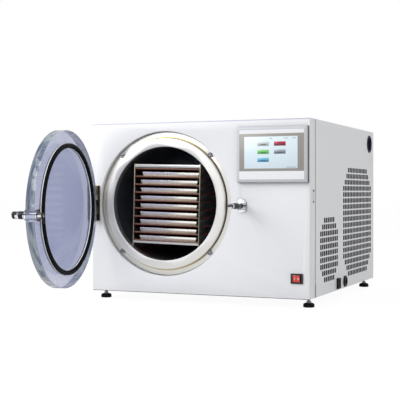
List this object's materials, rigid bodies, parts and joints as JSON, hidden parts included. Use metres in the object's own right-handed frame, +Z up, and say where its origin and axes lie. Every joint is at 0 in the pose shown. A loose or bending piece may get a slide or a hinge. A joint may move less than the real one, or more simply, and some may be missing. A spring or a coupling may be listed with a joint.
{
  "type": "bench-top vacuum freeze dryer",
  "caption": "Bench-top freeze dryer: white sheet-steel cabinet, round chamber with a rack of trays, clear swing door with latch, touch panel, rocker switch, side grilles and levelling feet.",
  "frame": {"origin": "centre of the bounding box's base, with the door open as it is stored", "axes": "+X to the right of someone facing the front, +Y from the front panel to the back, +Z up"},
  "size_m": [0.656, 1.1294, 0.498],
  "materials": {
    "painted_white": "satin",
    "stainless": "brushed",
    "dark_stainless": "polished, in shade",
    "tray_steel": "satin",
    "plated_steel": "satin",
    "chrome_metal": "polished",
    "black_plastic": "satin",
    "grey_plastic": "satin",
    "touch_screen": "glossy",
    "red_plastic": "glossy",
    "grey_metal": "satin",
    "rubber_black": "matt",
    "black_foam": "matt",
    "heater_mat": "matt",
    "black_enamel": "satin",
    "fin_aluminium": "satin",
    "copper": "satin",
    "bronze": "satin",
    "acrylic": "polished"
  },
  "bodies": {
    "cabinet": {"base_tray": "painted_white", "front_panel": "painted_white", "left_panel": "painted_white", "right_panel": "painted_white", "top_cover": "painted_white", "rear_panel": "painted_white", "panel_screws": "plated_steel", "mount_ring": "stainless", "chamber_barrel": "dark_stainless", "chamber_flange": "stainless", "flange_bolts": "plated_steel", "barrel_insulation": "black_foam", "barrel_cradle": "plated_steel", "rack_frame": "stainless", "rack_shelves": "stainless", "shelf_heaters": "heater_mat", "panel_housing": "black_plastic", "panel_bezel": "grey_plastic", "panel_screen": "touch_screen", "switch_bezel": "black_plastic", "data_port": "grey_metal", "power_inlet": "black_plastic", "round_socket": "black_plastic", "vacuum_pipe": "stainless", "port_grommet": "rubber_black", "compressor": "black_enamel", "condenser_fins": "fin_aluminium", "fan_shroud": "black_enamel", "cooling_pipes": "copper", "power_box": "plated_steel", "hinge_leaf": "bronze", "hinge_pin": "bronze", "grip_post": "chrome_metal", "post_sleeve": "black_plastic", "tray_1": "tray_steel", "tray_2": "tray_steel", "tray_3": "tray_steel", "tray_4": "tray_steel", "tray_5": "tray_steel", "tray_6": "tray_steel", "tray_7": "tray_steel", "tray_8": "tray_steel", "tray_9": "tray_steel"},
    "door": {"hinge_strap": "bronze", "strap_screws": "bronze", "door_disc": "acrylic", "door_gasket": "rubber_black", "latch_bush": "chrome_metal"},
    "latch": {"latch_knob": "chrome_metal", "latch_dog": "plated_steel"},
    "rocker": {"switch_rocker": "red_plastic"},
    "fan": {"fan_rotor": "black_plastic"},
    "foot_1": {"foot_stem_1": "plated_steel", "foot_pad_1": "rubber_black"},
    "foot_2": {"foot_stem_2": "plated_steel", "foot_pad_2": "rubber_black"},
    "foot_3": {"foot_stem_3": "plated_steel", "foot_pad_3": "rubber_black"},
    "foot_4": {"foot_stem_4": "plated_steel", "foot_pad_4": "rubber_black"}
  },
  "joints": [
    {"name": "door_hinge", "type": "hinge", "parent": "cabinet", "child": "door", "pos_m": [-0.3115, -0.14901, 0.273], "axis": [-0.0279, -0.0384, 0.9989], "range_deg": [-29, 81.5]},
    {"name": "latch_turn", "type": "hinge", "parent": "door", "child": "latch", "pos_m": [-0.26813, -0.54824, 0.24827], "axis": [-0.9888, -0.1491, 0.0051], "range_deg": [0, 90]},
    {"name": "rocker_tip", "type": "hinge", "parent": "cabinet", "child": "rocker", "pos_m": [0.285, -0.12731, 0.0785], "axis": [0, 0, 1], "range_deg": [0, 16]},
    {"name": "fan_spin", "type": "hinge", "parent": "cabinet", "child": "fan", "pos_m": [0.212, 0.35869, 0.212], "axis": [1, 0, 0], "continuous": true},
    {"name": "foot_1_screw", "type": "slide", "parent": "cabinet", "child": "foot_1", "axis": [0, 0, -1], "range_m": [-0.005, 0.015]},
    {"name": "foot_2_screw", "type": "slide", "parent": "cabinet", "child": "foot_2", "axis": [0, 0, -1], "range_m": [-0.005, 0.015]},
    {"name": "foot_3_screw", "type": "slide", "parent": "cabinet", "child": "foot_3", "axis": [0, 0, -1], "range_m": [-0.005, 0.015]},
    {"name": "foot_4_screw", "type": "slide", "parent": "cabinet", "child": "foot_4", "axis": [0, 0, -1], "range_m": [-0.005, 0.015]}
  ]
}
